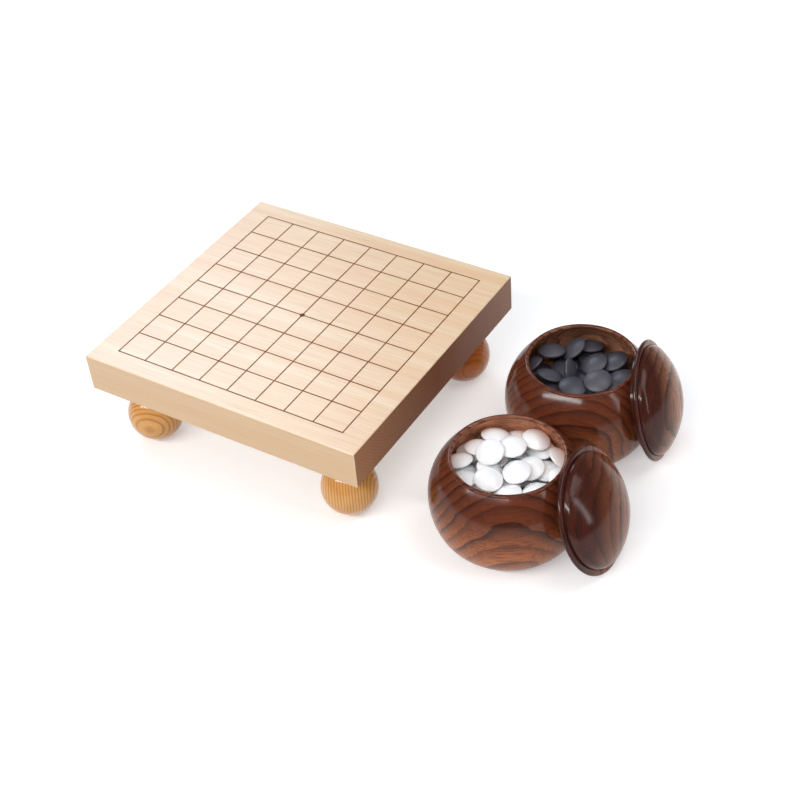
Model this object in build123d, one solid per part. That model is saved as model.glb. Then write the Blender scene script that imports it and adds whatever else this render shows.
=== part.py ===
# Footed nine-line go board with two lidded bowls of stones. Millimetres, +Z up.
# +X runs along the board's front edge to the right, +Y from that edge to the back.
# The origin is on the table, under the middle of the whole set as it lies.
from build123d import *
import math
import os

import numpy as np

# ---------------------------------------------------------------- driving dimensions
# Playing surface
LINES = 9               # lines each way
CELL_X = 24.0           # line to line along the front edge
CELL_Y = 23.6           # line to line from front to back
LINE_WIDTH = 0.9        # lacquer line
LINE_DEPTH = 0.35       # groove that the lacquer fills
LACQUER_PROUD = 0.08    # how far the lacquer stands above the wood
STAR_R = 1.9            # dot on the middle crossing

# Slab
MARGIN_X = 18.5         # outer line to the left and right edges
MARGIN_Y = 15.6         # outer line to the front and back edges
SLAB_THICK = 30.3
SLAB_EASE = 0.5         # small bevel on every edge

# Turned feet
BALL_R = 20.7           # ball, measured level
BALL_RISE = 21.6        # ball, half its height
BALL_DEPTH = 34.2       # slab's underside to the ball's middle
BALL_FLAT = 0.8         # ground off the bottom so that it stands
NECK_R = 11.0           # narrowest place above the ball
NECK_JOIN_R = 13.0      # where the neck runs into the ball
COLLAR_R = 14.5         # disc that meets the slab
COLLAR_THICK = 3.0
FOOT_INSET_X = 28.0     # foot's axis to the slab's side edge
FOOT_INSET_Y = 28.5     # foot's axis to the slab's front or back edge
DOWEL_R = 5.0
DOWEL_IN_SLAB = 16.0
DOWEL_IN_FOOT = 18.0
GLUE_SPACE = 1.0        # room past each end of a dowel

# Turned bowls
BOWL_R = 55.3           # belly
BELLY_HEIGHT = 37.3     # where the belly is widest
BOWL_HEIGHT = 71.5
BOWL_BASE_R = 34.0      # flat that it stands on
MOUTH_R = 41.0          # outside of the lip
LIP = 3.4               # lip's thickness, rounded over the top
BOWL_WALL = 5.4         # wall at the belly
BOWL_FLOOR = 9.0
CAVITY_FLOOR_R = 30.0   # flat part of the floor inside
RECESS_R = 28.0         # shallow hollow turned under the base
RECESS_DEEP = 1.2

# Lids
LID_R = 43.9            # brim
BRIM_THICK = 3.3
BRIM_WIDTH = 3.5        # flat of the brim, outside the groove
GROOVE = 0.5            # width and depth of the step inside the brim
DOME_RISE = 19.6        # dome above the bottom of the groove
DOME_ROUND = 8.0        # rounding of the dome's shoulder
HOLLOW_ROUND = 9.0      # rounding where the hollow under the lid turns up
LID_WALL = 5.2
SPIGOT_DEEP = 3.2       # ring under the lid that sits in the mouth
SPIGOT_WALL = 3.0
LID_PLAY = 0.5          # spigot inside the mouth, on the radius

# Stones
WHITE_STONE = 20.0      # diameters: black ones are made a little larger
BLACK_STONE = 20.3
STONE_THICK = 7.8
STONE_EDGE_R = 1.1      # rounding round the rim
STONE_GAP = 0.3         # clear space kept between stones, and to the bowl
WHITE_BED_TOP = 22.3    # the hidden stones' middles stay this far under the rim
BLACK_BED_TOP = 26.0
BED_LAYER = 13          # stones in one round of the sunflower pattern
GOLDEN_ANGLE = 137.508  # degrees from one stone to the next in that pattern
BED_FREEDOM = 2.0       # how far a hidden stone may shift as it settles
SEEN_FREEDOM = 5.0      # how far one in sight may shift from where it was seen
SETTLE_STEP = 2.0       # first shift tried
SETTLE_ROCK = 4.0       # degrees rocked for each millimetre shifted

# Layout on the table
BOWL_FROM_SLAB = 27.0   # slab's right edge to the bowls
BOWL_APART = 0.8        # between the two bowls
BOWLS_BACK = 6.0        # middle of the two bowls behind the slab's middle
LID_REST_GAP = 0.7      # a leaning lid to its bowl
WHITE_LID_LEAN = 24.0   # degrees from upright
WHITE_LID_ROUND = 6.0   # degrees round the bowl from +X towards +Y
BLACK_LID_LEAN = 16.0
BLACK_LID_ROUND = 14.0

# Stones in sight. Each is x, y from the bowl's axis in mm, then how far its face leans from level
# and the way it leans, in degrees. They lie in the order in which they are put in.
WHITE_UNDER_SHOULDER = [
    (30, -8, 10, 115), (-23, -22, 15, -170), (33, 12, 30, 5), (-11, 36, 8, 95), (18, 33, 36, 22),
    (3, 37, 40, 32), (-31, -9, 23, -172), (-36, 8, 23, -174), (-25, 25, 10, 55),
]
WHITE_HANDFUL = [
    (14, -16, 8, -55), (14, 18, 15, 0), (-5, 24, 15, 72), (-15, -2, 40, -11),
    (-6, -15, 22, -14), (9, 2, 16, -27), (-13, 11, 11, -86),
]
BLACK_UNDER_SHOULDER = [
    (-25, 31, 22, 104), (-9, 38, 22, 131), (30, 14, 8, -140), (-30, -13, 23, -4),
    (-37, 0, 50, -155), (4, 35, 40, 8), (-13, 29, 29, 173), (-27, 14, 9, -63), (18, 24, 38, -130),
]
BLACK_HANDFUL = [
    (-15, -20, 15, 20), (25, 0, 18, -161), (8, -17, 6, 126), (-8, 7, 62, 19),
    (1, 19, 45, -137), (-16, -7, 20, 28), (0, -12, 8, -8), (15, -2, 24, -67),
]

# ---------------------------------------------------------------- worked out from them
SLAB_X = (LINES - 1) * CELL_X + 2 * MARGIN_X
SLAB_Y = (LINES - 1) * CELL_Y + 2 * MARGIN_Y
FOOT_HEIGHT = BALL_DEPTH + BALL_RISE - BALL_FLAT
SLAB_TOP = FOOT_HEIGHT + SLAB_THICK
MOUTH_INSIDE_R = MOUTH_R - LIP
LIP_FOOT = BOWL_HEIGHT - LIP / 2
CAVITY_R = BOWL_R - BOWL_WALL
SPIGOT_R = MOUTH_INSIDE_R - LID_PLAY
HOLLOW_R = SPIGOT_R - SPIGOT_WALL
DOME_R = LID_R - BRIM_WIDTH - GROOVE
HOLLOW_RISE = SPIGOT_DEEP + BRIM_THICK - GROOVE + DOME_RISE - LID_WALL
BOWL_X = SLAB_X / 2 + BOWL_FROM_SLAB + BOWL_R
WHITE_BOWL_AT = (BOWL_X, BOWLS_BACK - BOWL_R - BOWL_APART / 2)
BLACK_BOWL_AT = (BOWL_X, BOWLS_BACK + BOWL_R + BOWL_APART / 2)
FEET = {
    "front_left": (-1, -1),
    "front_right": (1, -1),
    "back_left": (-1, 1),
    "back_right": (1, 1),
}


def turned(*edges):
    """A solid turned about the Z axis from a closed outline of radius and height."""
    return revolve(Plane.XZ * make_face(Wire(edges)), Axis.Z)


def crown_radius(out, rise, rounding):
    """Radius of a crown that runs smoothly into the rounding at its rim."""
    return ((out - rounding) ** 2 + rise**2 - rounding**2) / (2 * (rise - rounding))


def crown_meets(out, rise, rounding):
    """Angle from the axis at which the crown runs into the rounding."""
    return math.asin((out - rounding) / (crown_radius(out, rise, rounding) - rounding))


def crown(out, rise, rounding, base=0.0, way=1):
    """Outline of a domed face from its rim to the axis, above its base, or below it where way is -1."""
    ball = crown_radius(out, rise, rounding)
    slope = crown_meets(out, rise, rounding)

    def on_ball(angle):
        return (ball * math.sin(angle), base + way * (ball * math.cos(angle) - ball + rise))

    def on_rim(angle):
        return (out - rounding + rounding * math.sin(angle), base + way * rounding * math.cos(angle))

    rim = ThreePointArc((out, base), on_rim((slope + math.pi / 2) / 2), on_rim(slope))
    return [rim, ThreePointArc(on_rim(slope), on_ball(slope / 2), (0, base + way * rise))]


# ---------------------------------------------------------------- board
def grid_outline():
    """The nine lines each way, as one flat figure."""
    span_x = (LINES - 1) * CELL_X
    span_y = (LINES - 1) * CELL_Y
    figure = Sketch()
    for i in range(LINES):
        along = Rectangle(span_x + LINE_WIDTH, LINE_WIDTH)
        across = Rectangle(LINE_WIDTH, span_y + LINE_WIDTH)
        figure += Pos(0, i * CELL_Y - span_y / 2) * along
        figure += Pos(i * CELL_X - span_x / 2, 0) * across
    return figure


def lacquer(figure, height):
    """A flat figure filled from the bottom of its groove to a height above the wood."""
    return Pos(0, 0, SLAB_TOP - LINE_DEPTH) * extrude(figure, LINE_DEPTH + height)


def foot_place(side, front):
    """A foot's axis where it meets the slab's underside."""
    x = side * (SLAB_X / 2 - FOOT_INSET_X)
    y = front * (SLAB_Y / 2 - FOOT_INSET_Y)
    return Pos(x, y, FOOT_HEIGHT)


def dowel_hole():
    """Room for a dowel across the joint between slab and foot, with glue space at its ends."""
    length = DOWEL_IN_SLAB + DOWEL_IN_FOOT + 2 * GLUE_SPACE
    middle = (DOWEL_IN_SLAB - DOWEL_IN_FOOT) / 2
    return Pos(0, 0, middle) * Cylinder(DOWEL_R, length)


def dowel():
    middle = (DOWEL_IN_SLAB - DOWEL_IN_FOOT) / 2
    return Pos(0, 0, middle) * Cylinder(DOWEL_R, DOWEL_IN_SLAB + DOWEL_IN_FOOT)


def board_slab(figure):
    """One thick plank, bevelled all round, grooved on top and bored under for the feet."""
    plank = Pos(0, 0, FOOT_HEIGHT + SLAB_THICK / 2) * Box(SLAB_X, SLAB_Y, SLAB_THICK)
    plank = chamfer(plank.edges(), SLAB_EASE)
    plank -= lacquer(figure, SLAB_EASE)
    for side, front in FEET.values():
        plank -= foot_place(side, front) * dowel_hole()
    return plank


def ball_height(radius):
    """Height on the upper half of the ball, where it has this radius."""
    return BALL_RISE * math.sqrt(1 - (radius / BALL_R) ** 2) - BALL_DEPTH


def foot():
    """A turned foot below the slab: collar, waisted neck and ball, flat at the bottom."""
    stand = BALL_RISE - BALL_FLAT
    flat_r = BALL_R * math.sqrt(1 - (stand / BALL_RISE) ** 2)
    start = -math.degrees(math.asin(stand / BALL_RISE))
    end = math.degrees(math.acos(NECK_JOIN_R / BALL_R))
    join = ball_height(NECK_JOIN_R)
    waist = (join - COLLAR_THICK) / 2
    body = turned(
        Line((0, 0), (0, -FOOT_HEIGHT)),
        Line((0, -FOOT_HEIGHT), (flat_r, -FOOT_HEIGHT)),
        EllipticalCenterArc((0, -BALL_DEPTH), BALL_R, BALL_RISE, start, arc_size=end - start),
        ThreePointArc((NECK_JOIN_R, join), (NECK_R, waist), (COLLAR_R, -COLLAR_THICK)),
        Line((COLLAR_R, -COLLAR_THICK), (COLLAR_R, 0)),
        Line((COLLAR_R, 0), (0, 0)),
    )
    return body - dowel_hole()


# ---------------------------------------------------------------- bowls and lids
def shoulder_rise(belly, mouth):
    """Half height of the ellipse that runs from the belly to the lip."""
    return (LIP_FOOT - BELLY_HEIGHT) / math.sqrt(1 - (mouth / belly) ** 2)


def shoulder_arc(belly, mouth):
    """Wall from the belly up to the lip."""
    sweep = math.degrees(math.acos(mouth / belly))
    return EllipticalCenterArc((0, BELLY_HEIGHT), belly, shoulder_rise(belly, mouth), 0, arc_size=sweep)


def bowl():
    """A turned bowl: round belly, thin rounded lip, flat foot with a shallow recess."""
    return turned(
        Line((0, BOWL_FLOOR), (0, RECESS_DEEP)),
        Line((0, RECESS_DEEP), (RECESS_R, RECESS_DEEP)),
        Line((RECESS_R, RECESS_DEEP), (RECESS_R, 0)),
        Line((RECESS_R, 0), (BOWL_BASE_R, 0)),
        EllipticalCenterArc((BOWL_BASE_R, BELLY_HEIGHT), BOWL_R - BOWL_BASE_R, BELLY_HEIGHT, 270),
        shoulder_arc(BOWL_R, MOUTH_R),
        ThreePointArc((MOUTH_R, LIP_FOOT), (MOUTH_R - LIP / 2, BOWL_HEIGHT), (MOUTH_INSIDE_R, LIP_FOOT)),
        shoulder_arc(CAVITY_R, MOUTH_INSIDE_R),
        EllipticalCenterArc(
            (CAVITY_FLOOR_R, BELLY_HEIGHT),
            CAVITY_R - CAVITY_FLOOR_R,
            BELLY_HEIGHT - BOWL_FLOOR,
            270,
        ),
        Line((CAVITY_FLOOR_R, BOWL_FLOOR), (0, BOWL_FLOOR)),
    )


def lid():
    """A lid about its own axis, dome up, with its brim's underside at zero."""
    brim_mid = LID_R - BRIM_THICK / 2
    step_r = DOME_R + GROOVE
    step = BRIM_THICK - GROOVE
    return turned(
        *crown(HOLLOW_R, HOLLOW_RISE, HOLLOW_ROUND, -SPIGOT_DEEP),
        Line((HOLLOW_R, -SPIGOT_DEEP), (SPIGOT_R, -SPIGOT_DEEP)),
        Line((SPIGOT_R, -SPIGOT_DEEP), (SPIGOT_R, 0)),
        Line((SPIGOT_R, 0), (brim_mid, 0)),
        ThreePointArc((brim_mid, 0), (LID_R, BRIM_THICK / 2), (brim_mid, BRIM_THICK)),
        Line((brim_mid, BRIM_THICK), (step_r, BRIM_THICK)),
        Line((step_r, BRIM_THICK), (step_r, step)),
        Line((step_r, step), (DOME_R, step)),
        *crown(DOME_R, DOME_RISE, DOME_ROUND, step),
        Line((0, step + DOME_RISE), (0, HOLLOW_RISE - SPIGOT_DEEP)),
    )


def bowl_outside(height):
    """The bowl's outer radius at each height, and nothing above its rim."""
    low = np.clip(1 - height / BELLY_HEIGHT, -1, 1)
    below = BOWL_BASE_R + (BOWL_R - BOWL_BASE_R) * np.sqrt(1 - low**2)
    high = np.clip((height - BELLY_HEIGHT) / shoulder_rise(BOWL_R, MOUTH_R), 0, 1)
    above = BOWL_R * np.sqrt(1 - high**2)
    lip = MOUTH_R - LIP / 2 + np.sqrt(np.clip((LIP / 2) ** 2 - (height - LIP_FOOT) ** 2, 0, None))
    radius = np.where(height < BELLY_HEIGHT, below, np.where(height < LIP_FOOT, above, lip))
    return np.where((height < 0) | (height > BOWL_HEIGHT), 0, radius)


def lid_underside(radius):
    """Height of the lid's underside at each radius."""
    ball = crown_radius(HOLLOW_R, HOLLOW_RISE, HOLLOW_ROUND)
    middle = np.sqrt(np.clip(ball**2 - radius**2, 0, None)) - ball + HOLLOW_RISE
    edge = np.sqrt(np.clip(HOLLOW_ROUND**2 - (radius - HOLLOW_R + HOLLOW_ROUND) ** 2, 0, None))
    turn_up = ball * math.sin(crown_meets(HOLLOW_R, HOLLOW_RISE, HOLLOW_ROUND))
    hollow = np.where(radius < turn_up, middle, edge) - SPIGOT_DEEP
    ring = np.where(radius < HOLLOW_R, hollow, -SPIGOT_DEEP)
    return np.where(radius > SPIGOT_R, 0, ring)


def leaning_height(lean):
    """Height of the middle of the brim's underside, when the rounded brim stands on the table."""
    half = BRIM_THICK / 2
    return (LID_R - half) * math.cos(lean) - half * math.sin(lean) + half


def leaning_distance(lean):
    """How far from the bowl's axis a leaning lid stands, when its underside just clears the bowl."""
    radius, turn = np.meshgrid(np.linspace(0, LID_R, 160), np.radians(np.arange(360)))
    up = radius * np.sin(turn)
    side = radius * np.cos(turn)
    out = lid_underside(radius)
    height = leaning_height(lean) + up * math.cos(lean) + out * math.sin(lean)
    reach = bowl_outside(height)
    needed = np.sqrt(np.clip((reach + LID_REST_GAP) ** 2 - side**2, 0, None))
    needed = needed + up * math.sin(lean) - out * math.cos(lean)
    meets = (reach > 0) & (reach + LID_REST_GAP > abs(side))
    return float(needed[meets].max())


def lid_plane(bowl_at, lean_deg, round_deg):
    """Where a leaning lid lies: the middle of its brim's underside and the way its dome faces."""
    lean = math.radians(lean_deg)
    turn = math.radians(round_deg)
    away = leaning_distance(lean)
    middle = (bowl_at[0] + away * math.cos(turn), bowl_at[1] + away * math.sin(turn), leaning_height(lean))
    outward = (math.cos(turn) * math.cos(lean), math.sin(turn) * math.cos(lean), math.sin(lean))
    return Plane(origin=middle, z_dir=outward)


# ---------------------------------------------------------------- stones
def all_round(step):
    """Unit directions all round, a step apart in degrees."""
    lift, turn = np.meshgrid(np.radians(np.arange(-90, 91, step)), np.radians(np.arange(0, 360, step)))
    parts = [np.cos(lift) * np.cos(turn), np.cos(lift) * np.sin(turn), np.sin(lift)]
    return np.stack([part.ravel() for part in parts], axis=1)


DIRECTIONS = all_round(9)
DOWNWARD = DIRECTIONS[:, 2] < -0.01
UPWARD = DIRECTIONS[:, 2] > 0.01
LEVEL = ~(DOWNWARD | UPWARD)


def stone(diameter):
    """A lens with two equal faces and a rounded rim."""
    half = STONE_THICK / 2
    return turned(
        *crown(diameter / 2, half, STONE_EDGE_R),
        Line((0, half), (0, -half)),
        *crown(diameter / 2, half, STONE_EDGE_R, way=-1),
    )


def stone_reach(diameter, face):
    """How far a stone reaches from its middle in every direction."""
    half = STONE_THICK / 2
    ball = crown_radius(diameter / 2, half, STONE_EDGE_R)
    along = abs(DIRECTIONS @ face)
    across = np.sqrt(np.clip(1 - along**2, 0, 1))
    on_face = ball - (ball - half) * along
    on_rim = (diameter / 2 - STONE_EDGE_R) * across + STONE_EDGE_R
    return np.where(across < math.sin(crown_meets(diameter / 2, half, STONE_EDGE_R)), on_face, on_rim)


def cavity_reach():
    """How far the bowl's inside reaches from the middle of its base in every direction.

    It counts the wall up to the lip. The mouth is open, so directions that only meet its plane have
    no limit."""
    lift = np.radians(np.arange(0, 91))
    low_r = CAVITY_FLOOR_R + (CAVITY_R - CAVITY_FLOOR_R) * np.cos(lift)
    low_z = BELLY_HEIGHT - (BELLY_HEIGHT - BOWL_FLOOR) * np.sin(lift)
    high = lift * math.acos(MOUTH_INSIDE_R / CAVITY_R) / (math.pi / 2)
    high_r = CAVITY_R * np.cos(high)
    high_z = BELLY_HEIGHT + shoulder_rise(CAVITY_R, MOUTH_INSIDE_R) * np.sin(high)
    wall_r = np.concatenate([low_r, high_r])
    wall_z = np.concatenate([low_z, high_z])
    level = np.hypot(DIRECTIONS[:, 0], DIRECTIONS[:, 1])
    reach = np.outer(level, wall_r) + np.outer(DIRECTIONS[:, 2], wall_z)
    open_mouth = reach.argmax(axis=1) == len(wall_r) - 1
    return np.where(open_mouth, np.inf, reach.max(axis=1))


def facing(tilt):
    """The way a stone's face points, from its tilt in degrees about level towards +X and +Y."""
    lean = math.radians(math.hypot(*tilt))
    toward = math.atan2(tilt[1], tilt[0])
    return np.array([math.sin(lean) * math.cos(toward), math.sin(lean) * math.sin(toward), math.cos(lean)])


def resting_height(at, own, heap):
    """Lowest height at which a stone let down at a place clears every stone already there."""
    lowest = -math.inf
    for other in heap:
        need = own + other["reach"] + STONE_GAP - DIRECTIONS @ (other["middle"] - at)
        if need[LEVEL].min() > 0:
            lowest = max(lowest, (need[DOWNWARD] / -DIRECTIONS[DOWNWARD, 2]).min())
    return lowest


def let_down(bowl_stones, x, y, tilt, opening):
    """Lets one stone down at x, y. It gives nothing if the wall or the opening is in the way."""
    face = facing(tilt)
    own = stone_reach(bowl_stones["diameter"], face)
    at = np.array([x, y, 0.0])
    room = bowl_stones["cavity"] - STONE_GAP - own - DIRECTIONS @ at
    if room[LEVEL].min() < 0 or (DIRECTIONS @ at + own)[LEVEL].max() > opening - STONE_GAP:
        return None
    near = [one for one in bowl_stones["heap"] if np.hypot(*(one["middle"][:2] - at[:2])) < 1.1 * own.max() * 2]
    low = max((-room[DOWNWARD] / -DIRECTIONS[DOWNWARD, 2]).max(), resting_height(at, own, near))
    if low > (room[UPWARD] / DIRECTIONS[UPWARD, 2]).min():
        return None
    return {"middle": np.array([x, y, low]), "face": face, "reach": own}


def settle(bowl_stones, x, y, tilt, freedom, opening=math.inf):
    """Lets a stone down near x, y and rocks and shifts it a little while that brings it lower."""
    start = (x, y, *tilt)
    scale = (1.0, 1.0, SETTLE_ROCK, SETTLE_ROCK)
    place = start
    best = let_down(bowl_stones, x, y, tilt, opening)
    while best is None:
        place = (place[0] * 0.96, place[1] * 0.96, *tilt)
        best = let_down(bowl_stones, place[0], place[1], tilt, opening)
    start = place
    step = SETTLE_STEP
    while step > SETTLE_STEP / 5:
        better = None
        for axis in range(4):
            for way in (-1, 1):
                trial = list(place)
                trial[axis] += way * step * scale[axis]
                if abs(trial[axis] - start[axis]) > freedom * scale[axis]:
                    continue
                found = let_down(bowl_stones, trial[0], trial[1], trial[2:], opening)
                if found and found["middle"][2] < best["middle"][2] - 0.05:
                    best = found
                    better = trial
        if better:
            place = tuple(better)
        else:
            step = step / 2
    bowl_stones["heap"].append(best)


def add_bedding(bowl_stones, bed_top):
    """Hidden stones that carry the ones in sight, let down one by one in a sunflower pattern.

    A stone whose middle would lie less than bed_top under the rim is left out, and a whole round of
    those ends it."""
    heap = bowl_stones["heap"]
    spread = CAVITY_R - bowl_stones["diameter"] / 2
    number = 0
    left_out = 0
    while left_out < BED_LAYER:
        out = spread * math.sqrt((number % BED_LAYER + 0.5) / BED_LAYER)
        turn = math.radians(number * GOLDEN_ANGLE)
        tilt = (10 * math.cos(2 * turn), 10 * math.sin(2 * turn))
        settle(bowl_stones, out * math.cos(turn), out * math.sin(turn), tilt, BED_FREEDOM)
        number += 1
        left_out += 1
        if heap[-1]["middle"][2] > BOWL_HEIGHT - bed_top:
            heap.pop()
        else:
            left_out = 0


def fill(diameter, bed_top, under_shoulder, handful):
    """Every stone in one bowl: the bedding, those in sight under the shoulder, and the handful."""
    bowl_stones = {"diameter": diameter, "cavity": cavity_reach(), "heap": []}
    add_bedding(bowl_stones, bed_top)
    below = len(bowl_stones["heap"])
    for x, y, lean, toward in under_shoulder:
        tilt = (lean * math.cos(math.radians(toward)), lean * math.sin(math.radians(toward)))
        settle(bowl_stones, x, y, tilt, SEEN_FREEDOM)
    for x, y, lean, toward in handful:
        tilt = (lean * math.cos(math.radians(toward)), lean * math.sin(math.radians(toward)))
        settle(bowl_stones, x, y, tilt, SEEN_FREEDOM, MOUTH_INSIDE_R)
    heap = bowl_stones["heap"]
    split = below + len(under_shoulder)
    return heap[:below], heap[below:split], heap[split:]


def lay(shape, bowl_at, placed):
    """A stone moved from the origin to where it lies in its bowl."""
    x, y, z = (float(value) for value in placed["middle"])
    face = tuple(float(value) for value in placed["face"])
    return Plane(origin=(bowl_at[0] + x, bowl_at[1] + y, z), z_dir=face).location * shape


def bowl_of_stones(colour, diameter, bowl_at, bed_top, under_shoulder, handful):
    """The named nodes of one bowl's stones."""
    shape = stone(diameter)
    hidden, sheltered, loose = fill(diameter, bed_top, under_shoulder, handful)
    nodes = {f"{colour}_stones_below": Compound([lay(shape, bowl_at, one) for one in hidden])}
    for number, one in enumerate(sheltered, 1):
        nodes[f"{colour}_stone_outer_{number}"] = lay(shape, bowl_at, one)
    for number, one in enumerate(loose[:-1], 1):
        nodes[f"{colour}_stone_handful_{number}"] = lay(shape, bowl_at, one)
    nodes[f"{colour}_stone_top"] = lay(shape, bowl_at, loose[-1])
    print(colour, "stones:", len(hidden), "below,", len(sheltered), "outer,", len(loose), "in the handful")
    print("  top stone's middle", [round(float(v), 1) for v in loose[-1]["middle"]])
    return nodes


# ---------------------------------------------------------------- the set
def board():
    """The board's nodes, with its middle over the layout's origin."""
    figure = grid_outline()
    star = Circle(STAR_R)
    nodes = {
        "board_slab": board_slab(figure + star),
        "grid_lines": lacquer(figure - star, LACQUER_PROUD),
        "star_point": lacquer(star, LACQUER_PROUD),
    }
    for name, (side, front) in FEET.items():
        nodes[f"foot_{name}"] = foot_place(side, front) * foot()
        nodes[f"foot_dowel_{name}"] = foot_place(side, front) * dowel()
    return nodes


def bowl_set(colour, diameter, bowl_at, lean, turn, bed_top, under_shoulder, handful):
    """One bowl with its leaning lid and its stones."""
    plane = lid_plane(bowl_at, lean, turn)
    print(colour, "lid stands", round((plane.origin - Vector(*bowl_at, plane.origin.Z)).length, 2), "from the axis")
    nodes = {
        f"{colour}_bowl": Pos(*bowl_at) * bowl(),
        f"{colour}_bowl_lid": plane.location * lid(),
    }
    nodes.update(bowl_of_stones(colour, diameter, bowl_at, bed_top, under_shoulder, handful))
    return nodes


def go_set():
    """Every node, moved so that the origin is under the middle of the whole set."""
    nodes = board()
    nodes.update(bowl_set("white", WHITE_STONE, WHITE_BOWL_AT, WHITE_LID_LEAN, WHITE_LID_ROUND,
                          WHITE_BED_TOP, WHITE_UNDER_SHOULDER, WHITE_HANDFUL))
    nodes.update(bowl_set("black", BLACK_STONE, BLACK_BOWL_AT, BLACK_LID_LEAN, BLACK_LID_ROUND,
                          BLACK_BED_TOP, BLACK_UNDER_SHOULDER, BLACK_HANDFUL))
    box = Compound(list(nodes.values())).bounding_box()
    middle = box.center()
    shift = Pos(-middle.X, -middle.Y, 0)
    print("layout moved by", round(-middle.X, 3), round(-middle.Y, 3))
    print("set measures", [round(v, 2) for v in box.size], "from z", round(box.min.Z, 3))
    return {name: shift * shape for name, shape in nodes.items()}


os.makedirs("parts", exist_ok=True)
for name, shape in go_set().items():
    export_step(shape, f"parts/{name}.step")
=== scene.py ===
# %% [markdown]
# # A footed go board with two bowls of stones
#
# This file dresses a finished solid model. Every piece already has its true shape and place, so
# the lesson is about finish: pale straight-grained wood, honey-coloured turned feet, lacquered
# bowls with a bold figure, and smooth stones. It also sets the light and the camera.

# %% Load the solid model
import math

import bpy
from mathutils import Matrix, Quaternion, Vector


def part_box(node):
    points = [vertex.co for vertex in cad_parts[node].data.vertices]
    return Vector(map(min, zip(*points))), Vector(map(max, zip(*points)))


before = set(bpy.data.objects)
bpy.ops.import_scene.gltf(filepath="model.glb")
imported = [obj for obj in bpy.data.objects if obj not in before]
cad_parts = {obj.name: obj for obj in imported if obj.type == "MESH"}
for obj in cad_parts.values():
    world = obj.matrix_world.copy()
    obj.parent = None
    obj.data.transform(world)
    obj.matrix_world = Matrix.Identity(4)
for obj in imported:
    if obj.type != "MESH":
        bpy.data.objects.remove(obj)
scene = bpy.context.scene
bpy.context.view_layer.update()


# %% [markdown]
# ## A short hand for shader nodes
#
# A finish is a small network of nodes. Making each node and each link takes two or three lines, so
# a few helpers keep the recipes readable. A value that comes out of a node is linked. A plain
# number or colour is set on the socket itself, because a renderer or an exporter can read it there.

# %% Helpers that add one node each
def add(tree, kind, *values, out=0, **settings):
    """Adds a node, sets or links its inputs in order, and gives one of its outputs."""
    made = tree.nodes.new(kind)
    for name, value in settings.items():
        setattr(made, name, value)
    for socket, value in zip(made.inputs, values):
        plug(tree, socket, value)
    return made.outputs[out]


def plug(tree, socket, value):
    """Links an output to a socket, or sets the socket to a plain value."""
    if isinstance(value, bpy.types.NodeSocket):
        tree.links.new(value, socket)
    elif value is not None:
        socket.default_value = value


def calc(tree, operation, *values):
    """One step of arithmetic."""
    return add(tree, "ShaderNodeMath", *values, operation=operation)


def calc_vector(tree, operation, *vectors):
    """One step of arithmetic with vectors."""
    return add(tree, "ShaderNodeVectorMath", *vectors, operation=operation)


def dot(tree, first, second):
    """How far one vector reaches along another, as a plain number."""
    return add(tree, "ShaderNodeVectorMath", first, second, operation="DOT_PRODUCT", out=1)


def split(tree, vector):
    """The three numbers of a vector, found by the names X, Y and Z."""
    made = tree.nodes.new("ShaderNodeSeparateXYZ")
    plug(tree, made.inputs[0], vector)
    return made.outputs


def piece_place(tree):
    """Coordinates in metres that stay with a piece when it moves."""
    return add(tree, "ShaderNodeTexCoord", out=3)


# %% [markdown]
# ## Irregular values, and how to shape them
#
# Wood and stone are never even. Noise gives soft values between 0 and 1, and stretched noise gives
# streaks. A level or a profile then says how much of such a value shows, and a mix turns it into
# colour. The surface can be lifted by the same value, so that light catches what the eye sees.

# %% Helpers for noise, colour and relief
def noise(tree, where, scale, detail=2.0, rough=0.5):
    """Soft irregular values from 0 to 1 at a scale in waves per metre."""
    made = tree.nodes.new("ShaderNodeTexNoise")
    plug(tree, made.inputs["Vector"], where)
    for name, value in (("Scale", scale), ("Detail", detail), ("Roughness", rough)):
        made.inputs[name].default_value = value
    return made.outputs["Fac"]


def stretch(tree, where, *factors):
    """The same coordinates, stretched along each direction."""
    return calc_vector(tree, "MULTIPLY", where, factors)


def levels(tree, value, low, high, out_low=0.0, out_high=1.0):
    """A value from low to high spread over a new range, and held at its ends."""
    made = tree.nodes.new("ShaderNodeMapRange")
    for socket, given in zip(made.inputs, (value, low, high, out_low, out_high)):
        plug(tree, socket, given)
    return made.outputs["Result"]


def ramp(tree, value, *stops):
    """Colours along a value: each stop is a position and a colour."""
    made = tree.nodes.new("ShaderNodeValToRGB")
    plug(tree, made.inputs["Fac"], value)
    band = made.color_ramp
    while len(band.elements) < len(stops):
        band.elements.new(0.5)
    for element, (position, colour) in zip(band.elements, stops):
        element.position = position
        element.color = (*colour, 1.0)
    return made.outputs["Color"]


def profile(tree, value, *stops):
    """A curve along a value: each stop is a position and a height from 0 to 1."""
    return ramp(tree, value, *((position, (height,) * 3) for position, height in stops))


def mix(tree, share, first, second):
    """Two colours mixed by a share."""
    made = tree.nodes.new("ShaderNodeMix")
    made.data_type = "RGBA"
    plug(tree, made.inputs["Factor"], share)
    for name, colour in (("A", first), ("B", second)):
        plain = not isinstance(colour, bpy.types.NodeSocket)
        plug(tree, made.inputs[name], (*colour, 1.0) if plain else colour)
    return made.outputs["Result"]


def raise_grain(tree, shader, height, distance):
    """Lets a value lift the surface by up to a distance in metres."""
    made = tree.nodes.new("ShaderNodeBump")
    made.inputs["Distance"].default_value = distance
    made.inputs["Strength"].default_value = 1.0
    plug(tree, made.inputs["Height"], height)
    tree.links.new(made.outputs["Normal"], shader.inputs["Normal"])


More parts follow.
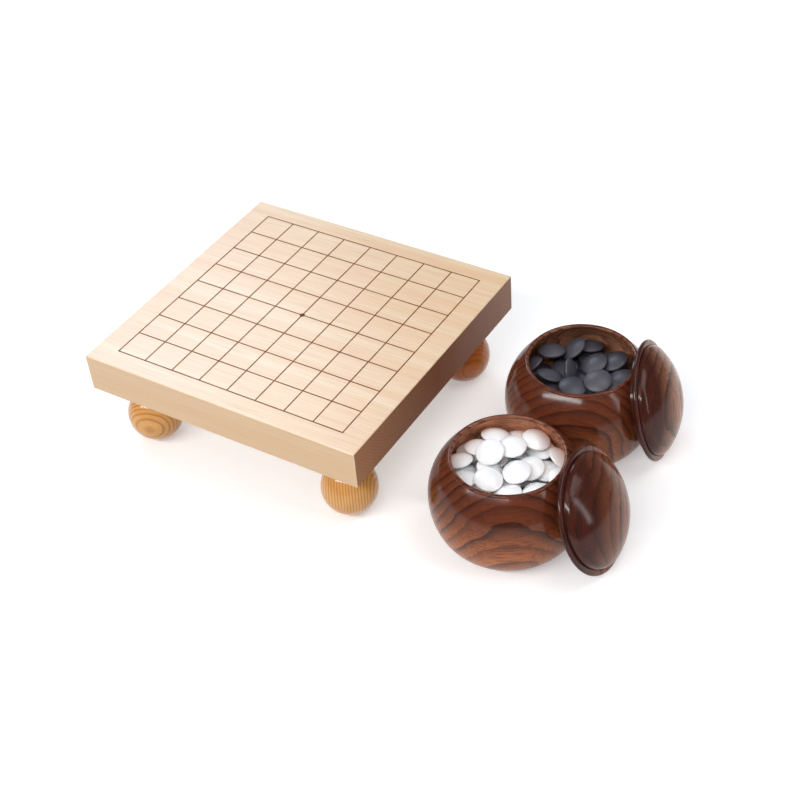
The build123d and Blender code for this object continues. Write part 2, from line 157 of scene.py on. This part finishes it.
def finish(name, **settings):
    """A new material with one principled shader and plain values on it."""
    material = bpy.data.materials.new(name)
    material.use_nodes = True
    shader = material.node_tree.nodes["Principled BSDF"]
    for socket, value in settings.items():
        shader.inputs[socket.replace("_", " ")].default_value = value
    print("finish", name)
    return material, material.node_tree, shader


# %% [markdown]
# ## How wood grows, and how a recipe can copy it
#
# A tree adds one ring a year round its heart. A board or a bowl is cut out of those rings, so the
# lines on its faces are where the rings meet the surface: straight lines on a board, long loops
# on a round belly. A flat picture of grain would have to be bent round each shape and would break
# at every edge. So the rings are made in space instead. The distance from the tree's heart is
# divided by the width of a ring, and every piece simply cuts through them, as a saw does.

# %% Growth rings in space
SEED_STEP = (0.37, 0.11, 0.23)       # metres from one seed's part of the noise to the next
SLOW_ALONG, QUICK_ALONG = 0.35, 0.3  # rings bend less along the trunk than across it
QUICK_WAVES = 5                      # quick waves to one slow wave


def log_space(tree, place, trunk, bark):
    """Coordinates in the log: X along the trunk, Z from the given place towards the bark."""
    along = Vector(trunk).normalized()
    out = Vector(bark)
    out = (out - out.dot(along) * along).normalized()
    made = tree.nodes.new("ShaderNodeMapping")
    made.vector_type = "TEXTURE"
    made.inputs["Location"].default_value = place
    made.inputs["Rotation"].default_value = Matrix((along, out.cross(along), out)).transposed().to_euler()
    plug(tree, made.inputs["Vector"], piece_place(tree))
    return made.outputs["Vector"]


def rings(tree, log, ring, heart, wander, wave, seed, ripple=0.16):
    """How far out a point lies, counted in rings of one width, for a heart at a distance.

    The rings wander by a length in slow waves, and ripple is the share of quick ones."""
    moved = calc_vector(tree, "ADD", log, tuple(seed * step for step in SEED_STEP))
    slow = noise(tree, stretch(tree, moved, SLOW_ALONG, 1, 1), wave, 1.5, 0.45)
    quick = noise(tree, stretch(tree, moved, QUICK_ALONG, 1, 1), wave * QUICK_WAVES, 3.0, 0.55)
    where = split(tree, log)
    deep = calc(tree, "ADD", where["Z"], heart)
    out = calc(tree, "SQRT", calc(tree, "ADD", calc(tree, "POWER", where["Y"], 2.0), calc(tree, "POWER", deep, 2.0)))
    bent = calc(tree, "MULTIPLY_ADD", calc(tree, "SUBTRACT", slow, 0.5), wander, out)
    bent = calc(tree, "MULTIPLY_ADD", calc(tree, "SUBTRACT", quick, 0.5), wander * ripple, bent)
    return calc(tree, "DIVIDE", bent, ring)


def fibres(tree, log, across, along, detail=3.0):
    """Fine streaks that run with the trunk, in waves per metre across and along it."""
    return noise(tree, stretch(tree, log, along / across, 1, 1), across, detail, 0.6)


def centre(name):
    """The middle of a piece."""
    low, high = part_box(name)
    return (low + high) / 2


print("middle of the slab", [round(v, 4) for v in centre("board_slab")])

# %% [markdown]
# ## The board: pale wood with straight, close grain
#
# The slab is a fine-grained softwood. It is cut so that the rings run straight along the top and
# the front face. The ends show the rings themselves, and end grain drinks in more of the finish,
# so it is darker and redder, and painted shade makes the ends darker still. The front and back
# faces are painted a little darker too, as shade. Three finishes on three groups of faces could
# show that, but their lines wouldn't meet at the edges. One recipe serves all faces: the heart of
# the tree lies far away along a diagonal, which gives close lines on both long faces, and which
# face is an end or a front comes from the direction that the surface points in.

# %% Board wood: sizes and colours
BOARD_RING = 0.00105                 # width of one ring, in metres
BOARD_HEART = 0.42                   # from the slab to the heart of its tree
BOARD_PALE = (0.83, 0.64, 0.425)
BOARD_TAN = (0.80, 0.52, 0.305)
BOARD_CREAM = (0.86, 0.67, 0.465)
BOARD_STREAK = (0.70, 0.45, 0.25)
BOARD_LATE = (0.66, 0.40, 0.22)      # the hard, dark edge of each ring
BOARD_FIBRE = (0.62, 0.40, 0.22)
BOARD_FRONT_SHADE = (0.55, 0.30, 0.095)    # painted shade on the front and back faces, half of it mixed in
END_NEAR = (0.50, 0.245, 0.12)       # end grain with painted shade, from its front corner
END_MIDDLE = (0.27, 0.092, 0.040)
END_FAR = (0.42, 0.22, 0.14)         # to its back corner
END_LATE = (0.15, 0.055, 0.028)
END_SAWN = (0.26, 0.11, 0.055)
slab_low, slab_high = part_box("board_slab")
print("rings in the slab's height", round((slab_high[2] - slab_low[2]) / BOARD_RING))

# %% [markdown]
# The top and the long sides come first: broad soft bands of tan, clouds of cream, thin streaks
# and, over them, the dark edge of each ring, stronger in some years than in others.

# %% Board wood: the long faces
def long_grain(tree, log, late, cloud, fibre):
    """Colour of the faces that run with the grain."""
    year = noise(tree, stretch(tree, log, 0.004, 0.6, 1), 420.0)
    band = noise(tree, stretch(tree, log, 0.02, 0.5, 1), 95.0)
    streak = noise(tree, stretch(tree, log, 0.022, 1, 1), 1150.0)
    dark = calc(tree, "MULTIPLY", late, levels(tree, year, 0.3, 0.7, 0.1, 0.75))
    colour = mix(tree, levels(tree, band, 0.35, 0.65), BOARD_PALE, BOARD_TAN)
    colour = mix(tree, levels(tree, cloud, 0.4, 0.7, 0.0, 0.5), colour, BOARD_CREAM)
    colour = mix(tree, levels(tree, streak, 0.50, 0.66, 0.0, 0.6), colour, BOARD_STREAK)
    colour = mix(tree, calc(tree, "MULTIPLY", dark, 0.8), colour, BOARD_LATE)
    return mix(tree, levels(tree, fibre, 0.56, 0.75, 0.0, 0.22), colour, BOARD_FIBRE)


# %% [markdown]
# The ends are stained by the finish that they soak up, and painted shade darkens them further,
# most of all in their middle. The saw leaves fine marks there, and the ends stay dull where the
# long faces shine.

# %% Board wood: the ends, and the whole
def end_grain(tree, log, late):
    """Colour of the two ends with painted shade, from the front corner to the back one."""
    along = split(tree, piece_place(tree))["Y"]
    sawn = noise(tree, log, 700.0, 3.0, 0.6)
    # painted shade over the soaked end grain, deepest in the middle of each end
    soaked_and_shaded = ramp(tree, levels(tree, along, -0.11, 0.10), (0.0, END_NEAR), (0.5, END_MIDDLE), (1.0, END_FAR))
    colour = mix(tree, calc(tree, "MULTIPLY", late, 0.85), soaked_and_shaded, END_LATE)
    return mix(tree, levels(tree, sawn, 0.45, 0.7, 0.0, 0.4), colour, END_SAWN)


def board_wood():
    """Wood for the slab."""
    material, tree, shader = finish("board_wood", Roughness=0.4, Coat_Weight=0.75, Coat_Roughness=0.28)
    log = log_space(tree, (0.0, 0.02, 0.05), trunk=(1, 0.012, 0.004), bark=(0, 0.8, 0.6))
    ring = calc(tree, "FRACT", rings(tree, log, BOARD_RING, BOARD_HEART, 0.012, 5.0, seed=1))
    late = profile(tree, ring, (0.0, 0.25), (0.35, 0.0), (0.72, 0.3), (0.93, 1.0), (1.0, 0.25))
    cloud = noise(tree, stretch(tree, log, 0.3, 1, 1), 16.0)
    fibre = fibres(tree, log, 2600.0, 60.0)
    facing = split(tree, add(tree, "ShaderNodeNewGeometry", out=1))
    end = levels(tree, calc(tree, "ABSOLUTE", facing["X"]), 0.75, 0.98)
    # painted shade: faces that point to the front or back are darkened
    front = levels(tree, calc(tree, "ABSOLUTE", facing["Y"]), 0.75, 0.98, 0.0, 0.5)
    colour = mix(tree, end, long_grain(tree, log, late, cloud, fibre), end_grain(tree, log, late))
    tree.links.new(mix(tree, front, colour, BOARD_FRONT_SHADE), shader.inputs["Base Color"])
    tree.links.new(levels(tree, end, 0.0, 1.0, 0.55, 0.05), shader.inputs["Specular IOR Level"])
    tree.links.new(levels(tree, end, 0.0, 1.0, 0.75, 0.08), shader.inputs["Coat Weight"])
    tree.links.new(levels(tree, cloud, 0.3, 0.7, 0.31, 0.42), shader.inputs["Roughness"])
    height = calc(tree, "MULTIPLY_ADD", fibre, 0.4, calc(tree, "MULTIPLY", late, -0.6))
    raise_grain(tree, shader, height, 0.00004)
    return material


finishes = {"board_slab": board_wood()}

# %% [markdown]
# ## The feet: turned from wood that stands upright
#
# Each ball foot is turned with its grain from top to bottom and then varnished, which warms the
# wood to honey. The rings meet the round surface in tall curves. One finish could serve all four
# feet, but then all would show the same lines. Each foot is cut from its own place in a plank, so
# each gets its own direction of rings. The back right foot sits in the shade of the slab, and that
# shade is painted into its colour as a deeper red.

# %% Foot wood
FOOT_RING = 0.0021
FOOT_HEART = 0.055
FOOT_SEED = 31
HONEY = (0.82, 0.44, 0.145)
AMBER = (0.73, 0.35, 0.10)
# painted shade: the deeper red of a foot in the slab's shadow
FOOT_PAINTED_SHADE = (0.62, 0.155, 0.026)
FOOT_LATE = (0.34, 0.125, 0.03)
FOOT_FIBRE = (0.42, 0.17, 0.05)
FEET = {
    # the side that the rings face, and the share of painted shade, a deeper red
    "foot_front_left": ((0.35, -0.9), 0.0),
    "foot_front_right": ((-0.9, -0.25), 0.0),
    "foot_back_left": ((0.6, 0.8), 0.0),
    "foot_back_right": ((0.8, -0.5), 0.85),
}


def foot_wood(name, facing, painted_shade, seed):
    """Wood for one foot."""
    material, tree, shader = finish("foot_wood_" + name, Roughness=0.3, Specular_IOR_Level=0.1,
                                    Coat_Weight=0.8, Coat_IOR=1.4, Coat_Roughness=0.12)
    log = log_space(tree, centre(name), trunk=(0.03, 0.02, 1), bark=(*facing, 0.1))
    ring = calc(tree, "FRACT", rings(tree, log, FOOT_RING, FOOT_HEART, 0.006, 14.0, seed))
    late = profile(tree, ring, (0.0, 0.1), (0.45, 0.0), (0.8, 0.75), (0.92, 1.0), (1.0, 0.1))
    fibre = fibres(tree, log, 1700.0, 110.0)
    cloud = noise(tree, log, 45.0)
    colour = mix(tree, levels(tree, cloud, 0.35, 0.7), HONEY, AMBER)
    # painted shade for the foot under the slab
    colour = mix(tree, painted_shade, colour, FOOT_PAINTED_SHADE)
    colour = mix(tree, calc(tree, "MULTIPLY", late, 0.72), colour, FOOT_LATE)
    colour = mix(tree, levels(tree, fibre, 0.5, 0.75, 0.0, 0.4), colour, FOOT_FIBRE)
    tree.links.new(colour, shader.inputs["Base Color"])
    tree.links.new(levels(tree, cloud, 0.3, 0.7, 0.26, 0.36), shader.inputs["Roughness"])
    raise_grain(tree, shader, calc(tree, "MULTIPLY", late, -1.0), 0.00004)
    return material


for number, (name, (facing, painted_shade)) in enumerate(FEET.items()):
    finishes[name] = foot_wood(name, facing, painted_shade, FOOT_SEED + number)

# %% [markdown]
# ## The bowls and lids: bold figure under lacquer
#
# Bowls like these are turned from a ring-porous hardwood. Each year starts with a band of open
# pores that the red-brown lacquer fills and darkens, and the line fades out towards the next
# year. Where the belly faces the same way as the rings, they close into loops, so the recipe
# places the heart of the tree behind each piece and aims the rings at the side that is seen.
# Over all of it lies a clear coat, smooth but not quite a mirror, so a lamp shows in it as a
# bright band with soft ends.

# %% Bowl wood
DEEP = (0.022, 0.0065, 0.004)     # filled pores
LATE = (0.075, 0.020, 0.010)      # fibres between them
RED_SHADED_HIGH = (0.150, 0.036, 0.015)       # painted shade: lacquer colour high on the belly
WARM_LIT_LOW = (0.54, 0.155, 0.042)       # painted light: lacquer colour low on the belly
BARE = (0.94, 0.43, 0.25)         # inside of a bowl
BOWL_RIPPLE = 0.26
FAINT = 0.35                      # strength of the lines on bare wood


def bowl_wood(name, piece, tint, trunk, bark, ring, heart, wander, wave, seed):
    """Wood for one bowl or lid.

    tint gives the ground colour and the share of it that is bare wood, where the lines are faint."""
    material, tree, shader = finish(name, Roughness=0.4, Specular_IOR_Level=0.0,
                                    Coat_Weight=0.8, Coat_Roughness=0.16, Coat_IOR=1.40)
    log = log_space(tree, centre(piece), trunk, bark)
    count = rings(tree, log, ring, heart, wander, wave, seed, BOWL_RIPPLE)
    line = profile(tree, calc(tree, "FRACT", count), (0.0, 0.05), (0.05, 1.0), (0.17, 0.85), (0.36, 0.38),
                   (0.72, 0.04), (0.97, 0.05))
    year = add(tree, "ShaderNodeTexWhiteNoise", None, calc(tree, "FLOOR", count), noise_dimensions="1D")
    fibre = fibres(tree, log, 850.0, 55.0)
    pore = levels(tree, fibres(tree, log, 2400.0, 260.0, 1.0), 0.60, 0.70)
    cloud = noise(tree, stretch(tree, log, 0.5, 1, 1), 30.0)
    ground, bare = tint(tree, cloud)
    strong = calc(tree, "MULTIPLY", line, levels(tree, year, 0.0, 1.0, 0.55, 1.0))
    dark = calc(tree, "MULTIPLY", strong, levels(tree, bare, 0.0, 1.0, 1.0, FAINT))
    colour = mix(tree, calc(tree, "MULTIPLY", dark, 0.96), ground, DEEP)
    colour = mix(tree, levels(tree, fibre, 0.42, 0.66, 0.0, 0.62), colour, LATE)
    colour = mix(tree, calc(tree, "MULTIPLY", pore, calc(tree, "MULTIPLY_ADD", dark, 0.6, 0.2)), colour, DEEP)
    tree.links.new(colour, shader.inputs["Base Color"])
    tree.links.new(levels(tree, cloud, 0.3, 0.7, 0.30, 0.42), shader.inputs["Roughness"])
    height = calc(tree, "MULTIPLY_ADD", pore, -0.5, calc(tree, "MULTIPLY", line, -0.5))
    raise_grain(tree, shader, height, 0.00006)
    return material


# %% [markdown]
# ## The bowls' colour, from foot to lip
#
# The outside is painted deeper and redder towards the rim, as painted shade, and warmer and paler
# low down, as painted light thrown back by the table. The inside is wiped nearly bare up to the
# lip. A painted mask could mark it, but a surface that faces the bowl's middle line is the inside
# anyway, so its direction is enough.

# %% Bowls
CLOUDED = 0.02                       # how far the clouds move a colour's edge, in metres
LIP_FROM, LIP_TO = 0.0665, 0.0700    # heights between which the lacquer closes over the lip
LIP_BARE = 0.2                       # share of bare wood that stays at the lip


def height_tint(piece, low, high, bare):
    """Painted light low down and painted shade above, between two heights; bare wood inside."""
    def tint(tree, cloud):
        where = piece_place(tree)
        height = split(tree, where)["Z"]
        lifted = calc(tree, "MULTIPLY_ADD", calc(tree, "SUBTRACT", cloud, 0.5), CLOUDED, height)
        # painted shade above and painted light below, blended between two heights
        outside = mix(tree, levels(tree, lifted, low, high), WARM_LIT_LOW, RED_SHADED_HIGH)
        out = calc_vector(tree, "SUBTRACT", where, tuple(centre(piece)))
        out = calc_vector(tree, "MULTIPLY", out, (1, 1, 0))
        faces_out = dot(tree, out, add(tree, "ShaderNodeTexCoord", out=1))
        below_lip = levels(tree, height, LIP_FROM, LIP_TO, 1.0, LIP_BARE)
        inside = calc(tree, "MULTIPLY", levels(tree, faces_out, 0.0, -0.01, 0.0, bare), below_lip)
        return mix(tree, inside, outside, BARE), inside
    return tint


finishes["white_bowl"] = bowl_wood(
    "white_bowl_wood", "white_bowl", height_tint("white_bowl", low=0.018, high=0.058, bare=1.0),
    trunk=(1, 0.55, 0.1), bark=(-0.1, -0.85, -0.5), ring=0.0060, heart=0.075, wander=0.016, wave=17.0, seed=3)
finishes["black_bowl"] = bowl_wood(
    "black_bowl_wood", "black_bowl", height_tint("black_bowl", low=0.010, high=0.052, bare=0.60),
    trunk=(1, 0.35, -0.15), bark=(0.45, -0.8, -0.35), ring=0.0052, heart=0.085, wander=0.015, wave=16.0, seed=8)

# %% [markdown]
# ## The lids: the same wood, seen on a shallow dome
#
# A lid leans against its bowl, so the camera sees its dome at a slant: one side is deep mahogany,
# and the side that turns away from the bowl gets a painted sheen that makes it greyer and paler.
# The tint could run up the lid as it does on the bowls, but a lid has no height of its own once it
# leans, so it runs across it.

# %% Lids
MAHOGANY = (0.058, 0.0105, 0.006)
# painted sheen: the paler, greyer side of each lid
GREYED_SHEEN = (0.46, 0.155, 0.062)
TAWNY_SHEEN = (0.80, 0.36, 0.19)


def lid_tint(piece, across, low, high, pale):
    """Deep colour on one side of a lid, and a painted sheen that turns it paler across it between two distances."""
    def tint(tree, cloud):
        near = calc_vector(tree, "SUBTRACT", piece_place(tree), tuple(centre(piece)))
        side = dot(tree, near, tuple(Vector(across).normalized()))
        shifted = calc(tree, "MULTIPLY_ADD", calc(tree, "SUBTRACT", cloud, 0.5), CLOUDED, side)
        return mix(tree, levels(tree, shifted, low, high), MAHOGANY, pale), 0.0
    return tint


finishes["white_bowl_lid"] = bowl_wood(
    "white_lid_wood", "white_bowl_lid", lid_tint("white_bowl_lid", (0.3, 0.8, -0.5), -0.022, 0.03, GREYED_SHEEN),
    trunk=(-0.3, 0.5, 0.8), bark=(0.85, 0.30, -0.25), ring=0.0050, heart=0.05, wander=0.013, wave=20.0, seed=14)
finishes["black_bowl_lid"] = bowl_wood(
    "black_lid_wood", "black_bowl_lid", lid_tint("black_bowl_lid", (0.3, 0.85, -0.35), -0.020, 0.024, TAWNY_SHEEN),
    trunk=(-0.3, 0.45, 0.85), bark=(0.85, 0.28, -0.3), ring=0.0048, heart=0.05, wander=0.012, wave=20.0, seed=21)

# %% [markdown]
# ## Stones
#
# White stones are polished until they shine and let a little light into their body, which softens
# the shade between them. Black ones are slate: a fine, dull, slightly blue surface with specks.
# Both are smooth, so their detail is in sheen and in small differences from stone to stone. One
# finish for each colour is enough for that, because the noise lies in space and every stone sits
# at another place in it.

# %% Stone finishes
SHELL, SHELL_COOL, SHELL_VEIN = (0.965, 0.97, 0.975), (0.93, 0.945, 0.96), (0.86, 0.85, 0.82)
SLATE, SLATE_PALE, SLATE_SPECK = (0.052, 0.050, 0.064), (0.080, 0.076, 0.094), (0.085, 0.085, 0.10)


def white_stone():
    """Polished white, with faint veins."""
    material, tree, shader = finish("white_stone", Roughness=0.22, Coat_Weight=0.35, Coat_Roughness=0.08,
                                    Subsurface_Weight=0.12, Subsurface_Scale=0.0025)
    place = piece_place(tree)
    tone = noise(tree, place, 38.0, 1.0)
    vein = noise(tree, stretch(tree, place, 1, 0.25, 1), 420.0)
    colour = mix(tree, levels(tree, tone, 0.35, 0.65), SHELL, SHELL_COOL)
    colour = mix(tree, levels(tree, vein, 0.55, 0.75, 0.0, 0.25), colour, SHELL_VEIN)
    tree.links.new(colour, shader.inputs["Base Color"])
    tree.links.new(levels(tree, tone, 0.3, 0.7, 0.18, 0.28), shader.inputs["Roughness"])
    return material


def black_stone():
    """Dull slate, with fine specks."""
    material, tree, shader = finish("black_stone", Roughness=0.5, Specular_IOR_Level=0.5)
    place = piece_place(tree)
    tone = noise(tree, place, 42.0, 1.0)
    speck = noise(tree, place, 2600.0, 2.0, 0.6)
    colour = mix(tree, levels(tree, tone, 0.35, 0.65), SLATE, SLATE_PALE)
    colour = mix(tree, levels(tree, speck, 0.58, 0.75, 0.0, 0.5), colour, SLATE_SPECK)
    tree.links.new(colour, shader.inputs["Base Color"])
    tree.links.new(levels(tree, speck, 0.3, 0.7, 0.36, 0.50), shader.inputs["Roughness"])
    raise_grain(tree, shader, speck, 0.000025)
    return material


finishes["white_stone"] = white_stone()
finishes["black_stone"] = black_stone()

# %% [markdown]
# ## Lacquer lines and dowels
#
# The grid is drawn with a thick lacquer that fills a groove and stands a hair above the wood. It
# is dark brown rather than black, and a little thinner in places, where the wood shows through.
# Lines could be painted into the board's finish, but as pieces of their own they catch the light
# at their edges. The dowels that hold the feet are plain wood, and nobody sees them.

# %% Line lacquer and plain dowel wood
LACQUER, LACQUER_WORN = (0.15, 0.045, 0.010), (0.33, 0.125, 0.030)
DOWEL_PALE, DOWEL_DARK = (0.62, 0.42, 0.24), (0.50, 0.31, 0.16)


def line_lacquer():
    """Brown lacquer, worn thin here and there."""
    material, tree, shader = finish("line_lacquer", Roughness=0.55, Specular_IOR_Level=0.1)
    worn = noise(tree, piece_place(tree), 260.0, 3.0, 0.6)
    colour = mix(tree, levels(tree, worn, 0.42, 0.72, 0.0, 0.8), LACQUER, LACQUER_WORN)
    tree.links.new(colour, shader.inputs["Base Color"])
    tree.links.new(levels(tree, worn, 0.3, 0.7, 0.5, 0.6), shader.inputs["Roughness"])
    return material


def dowel_wood():
    """Bare upright wood."""
    material, tree, shader = finish("dowel_wood", Roughness=0.6)
    fibre = noise(tree, stretch(tree, piece_place(tree), 1, 1, 0.06), 1500.0, 3.0, 0.6)
    colour = mix(tree, levels(tree, fibre, 0.35, 0.7), DOWEL_PALE, DOWEL_DARK)
    tree.links.new(colour, shader.inputs["Base Color"])
    return material


finishes["grid_lines"] = finishes["star_point"] = line_lacquer()
finishes["foot_dowel"] = dowel_wood()

# %% [markdown]
# ## Dress every piece
#
# The solid model's own shapes stay as they are. Each piece keeps its material slot and only the
# material in it changes, so a bowl that is lifted takes its grain with it. A finish is found by
# the start of a piece's name, and the longest start that fits wins: a lid's before its bowl's.

# %% Put each finish on its pieces
def dress(name, piece):
    """Gives one piece the finish whose name begins its own."""
    for start in sorted(finishes, key=len, reverse=True):
        if name.startswith(start):
            for slot in piece.material_slots:
                slot.material = finishes[start]
            return start
    raise ValueError("no finish for " + name)


worn_by = {name: dress(name, piece) for name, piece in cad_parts.items()}
print("finishes in use", sorted(set(worn_by.values())))

# %% [markdown]
# ## Table
#
# The set stands on plain white paper. White paper under soft light renders as a pale grey, and
# more light would bleach the board. So the paper is shown a little brighter to the camera and to
# mirror-like surfaces than it is, and it throws back on the wood only what real paper would.

# %% Paper
PAPER_WIDTH = 12
PAPER_BELOW = 0.0001                 # keeps the paper clear of what stands on it
PAPER_GLOW = 0.36

bpy.ops.mesh.primitive_plane_add(size=PAPER_WIDTH, location=(0, 0, -PAPER_BELOW))
paper = bpy.context.object
paper.name = "paper"
paper_finish, tree, shader = finish("paper", Roughness=0.9, Specular_IOR_Level=0.1)
fibre = noise(tree, piece_place(tree), 900.0)
tree.links.new(mix(tree, fibre, (0.80, 0.80, 0.80), (0.84, 0.84, 0.84)), shader.inputs["Base Color"])
rays = tree.nodes.new("ShaderNodeLightPath").outputs
mirrored = calc(tree, "MAXIMUM", rays["Is Glossy Ray"], rays["Is Transmission Ray"])
seen = calc(tree, "MAXIMUM", rays["Is Camera Ray"], mirrored)
glow = add(tree, "ShaderNodeEmission", (1, 1, 1, 1), calc(tree, "MULTIPLY", seen, PAPER_GLOW))
both = add(tree, "ShaderNodeAddShader", shader.outputs[0], glow)
tree.links.new(both, tree.nodes["Material Output"].inputs["Surface"])
paper.data.materials.append(paper_finish)

# %% [markdown]
# ## Light
#
# Each of five soft lights has one task. A long, narrow strip in front does most of the work: a
# round shoulder shows it as a bright arc just under the bowl's lip. It rises to the right,
# because that is how it stays level with the lip in the reflection. A weak broad light beside it
# and a stronger one above fill the level surfaces. A cool one, behind and to the left, lays a
# pale sheen over the left side of the board. A narrow one far to the right keeps the dark ends
# from going black. One big lamp would be simpler, but it would show as one big white shape in
# every coat of lacquer. A lamp's strength is given as a share of full light, so that all of them
# together come to about one and colours render about as they are written.

# %% Lights
AIM = Vector((0.0, 0.0, 0.04))       # middle of the set, a little above the table
ROOM_LIGHT = 0.22                    # what walls and ceiling give from all sides


def softbox(name, toward, distance, size, share, colour=(1, 1, 1), rise=0):
    """A soft light that gives a level surface this share of full light.

    rise lifts its right end by an angle in degrees."""
    way = Vector(toward).normalized()
    light = bpy.data.lights.new(name, "AREA")
    light.shape = "RECTANGLE"
    light.size, light.size_y = size
    light.color = colour
    light.energy = math.pi ** 2 * distance ** 2 * share / way.z
    lamp = bpy.data.objects.new(name, light)
    lamp.location = AIM + way * distance
    facing = (-way).to_track_quat("-Z", "Y") @ Quaternion((0, 0, 1), math.radians(rise))
    lamp.rotation_euler = facing.to_euler()
    scene.collection.objects.link(lamp)
    print(name, round(light.energy, 1), "W")


softbox("front_light", toward=(-0.05, -0.45, 0.88), distance=1.8, size=(1.2, 0.5), share=0.06)
softbox("shoulder_strip", toward=(-0.12, -0.69, 0.69), distance=2.2, size=(2.4, 0.14), share=0.46, rise=14)
softbox("top_light", toward=(0.42, 0.1, 0.90), distance=1.8, size=(1.2, 1.2), share=0.30)
softbox("left_light", toward=(-0.63, 0.44, 0.64), distance=2.0, size=(0.9, 0.6), share=0.165,
        colour=(0.74, 0.85, 1.0))
softbox("right_strip", toward=(0.90, -0.02, 0.44), distance=1.8, size=(0.16, 1.1), share=0.045)
world = bpy.data.worlds.new("studio")
world.use_nodes = True
scene.world = world
room = world.node_tree.nodes["Background"].inputs
room["Color"].default_value = (0.95, 0.97, 1.0, 1)
room["Strength"].default_value = ROOM_LIGHT

# %% [markdown]
# ## Camera
#
# The camera looks down at the front right corner of the set from about arm's length. Lens and
# place were worked out from the board's own lines, which are square and evenly spaced. The lens
# is shifted a little: that moves the set in the frame and leaves the perspective alone, which
# turning the camera wouldn't.

# %% Camera
CAMERA_AT = Vector((0.4683, -0.6904, 0.7545))
AZIMUTH = math.radians(33.1)
ELEVATION = math.radians(43.4)
ROLL = math.radians(4.08)
SENSOR_WIDTH = 36.0                  # in millimetres, as is the focal length
FOCAL_LENGTH = 67.4
LENS_SHIFT = (-0.04, 0.081)

flat = Vector((-math.sin(AZIMUTH), math.cos(AZIMUTH), 0))
forward = flat * math.cos(ELEVATION) - Vector((0, 0, math.sin(ELEVATION)))
level = Vector((math.cos(AZIMUTH), math.sin(AZIMUTH), 0))
right = level * math.cos(ROLL) - level.cross(forward) * math.sin(ROLL)
turned = Matrix((right, right.cross(forward), -forward)).transposed().to_4x4()

lens = bpy.data.cameras.new("camera")
lens.sensor_width = SENSOR_WIDTH
lens.lens = FOCAL_LENGTH
lens.shift_x, lens.shift_y = LENS_SHIFT
camera = bpy.data.objects.new("camera", lens)
camera.matrix_world = Matrix.Translation(CAMERA_AT) @ turned
scene.collection.objects.link(camera)
scene.camera = camera
scene.view_settings.view_transform = "Standard"
print("camera", [round(v, 3) for v in CAMERA_AT], "focal length", FOCAL_LENGTH)
